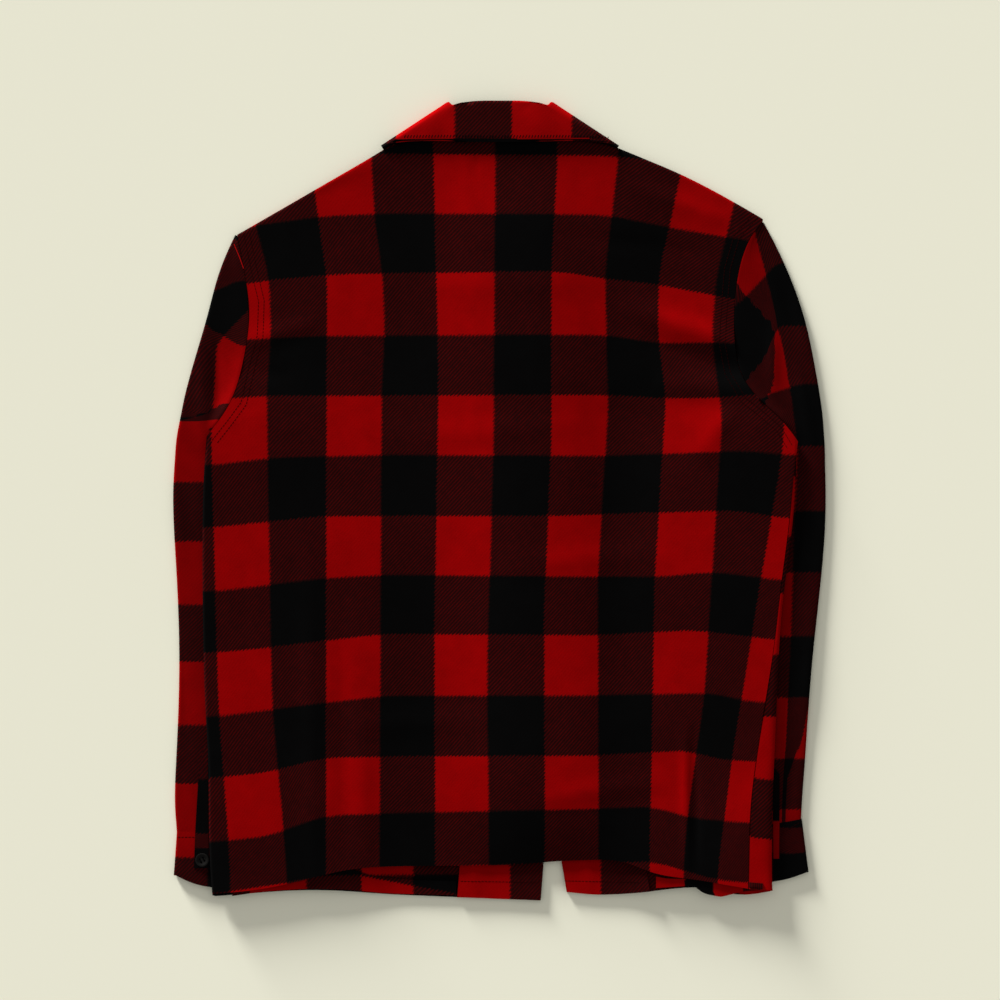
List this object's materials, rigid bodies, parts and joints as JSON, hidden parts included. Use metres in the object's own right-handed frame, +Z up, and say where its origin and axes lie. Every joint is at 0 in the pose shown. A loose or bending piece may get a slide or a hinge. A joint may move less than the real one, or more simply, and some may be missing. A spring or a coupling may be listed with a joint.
{
  "type": "wool overshirt",
  "caption": "Long-sleeved checked wool overshirt with a turned-down collar and buttoned front, laid flat on its front with the sleeves tucked under the body.",
  "frame": {"origin": "on the surface that the garment lies on, under the middle of its outline", "axes": "+Y from hem to collar, +Z up out of the back, +X towards the wearer's right"},
  "size_m": [0.627, 0.7666, 0.0131],
  "materials": {
    "wool_check": "napped wool twill in a red and black check",
    "button": "dark polished resin"
  },
  "bodies": {
    "root": {"back": "wool_check", "front_left": "wool_check", "facing_left": "wool_check", "sleeve_left": "wool_check", "cuff_left": "wool_check", "front_right": "wool_check", "facing_right": "wool_check", "sleeve_right": "wool_check", "cuff_right": "wool_check", "collar_stand": "wool_check", "collar": "wool_check", "button_1": "button", "button_2": "button", "button_3": "button", "button_4": "button", "button_5": "button", "button_6": "button", "cuff_button_left": "button", "cuff_button_right": "button"}
  },
  "joints": []
}
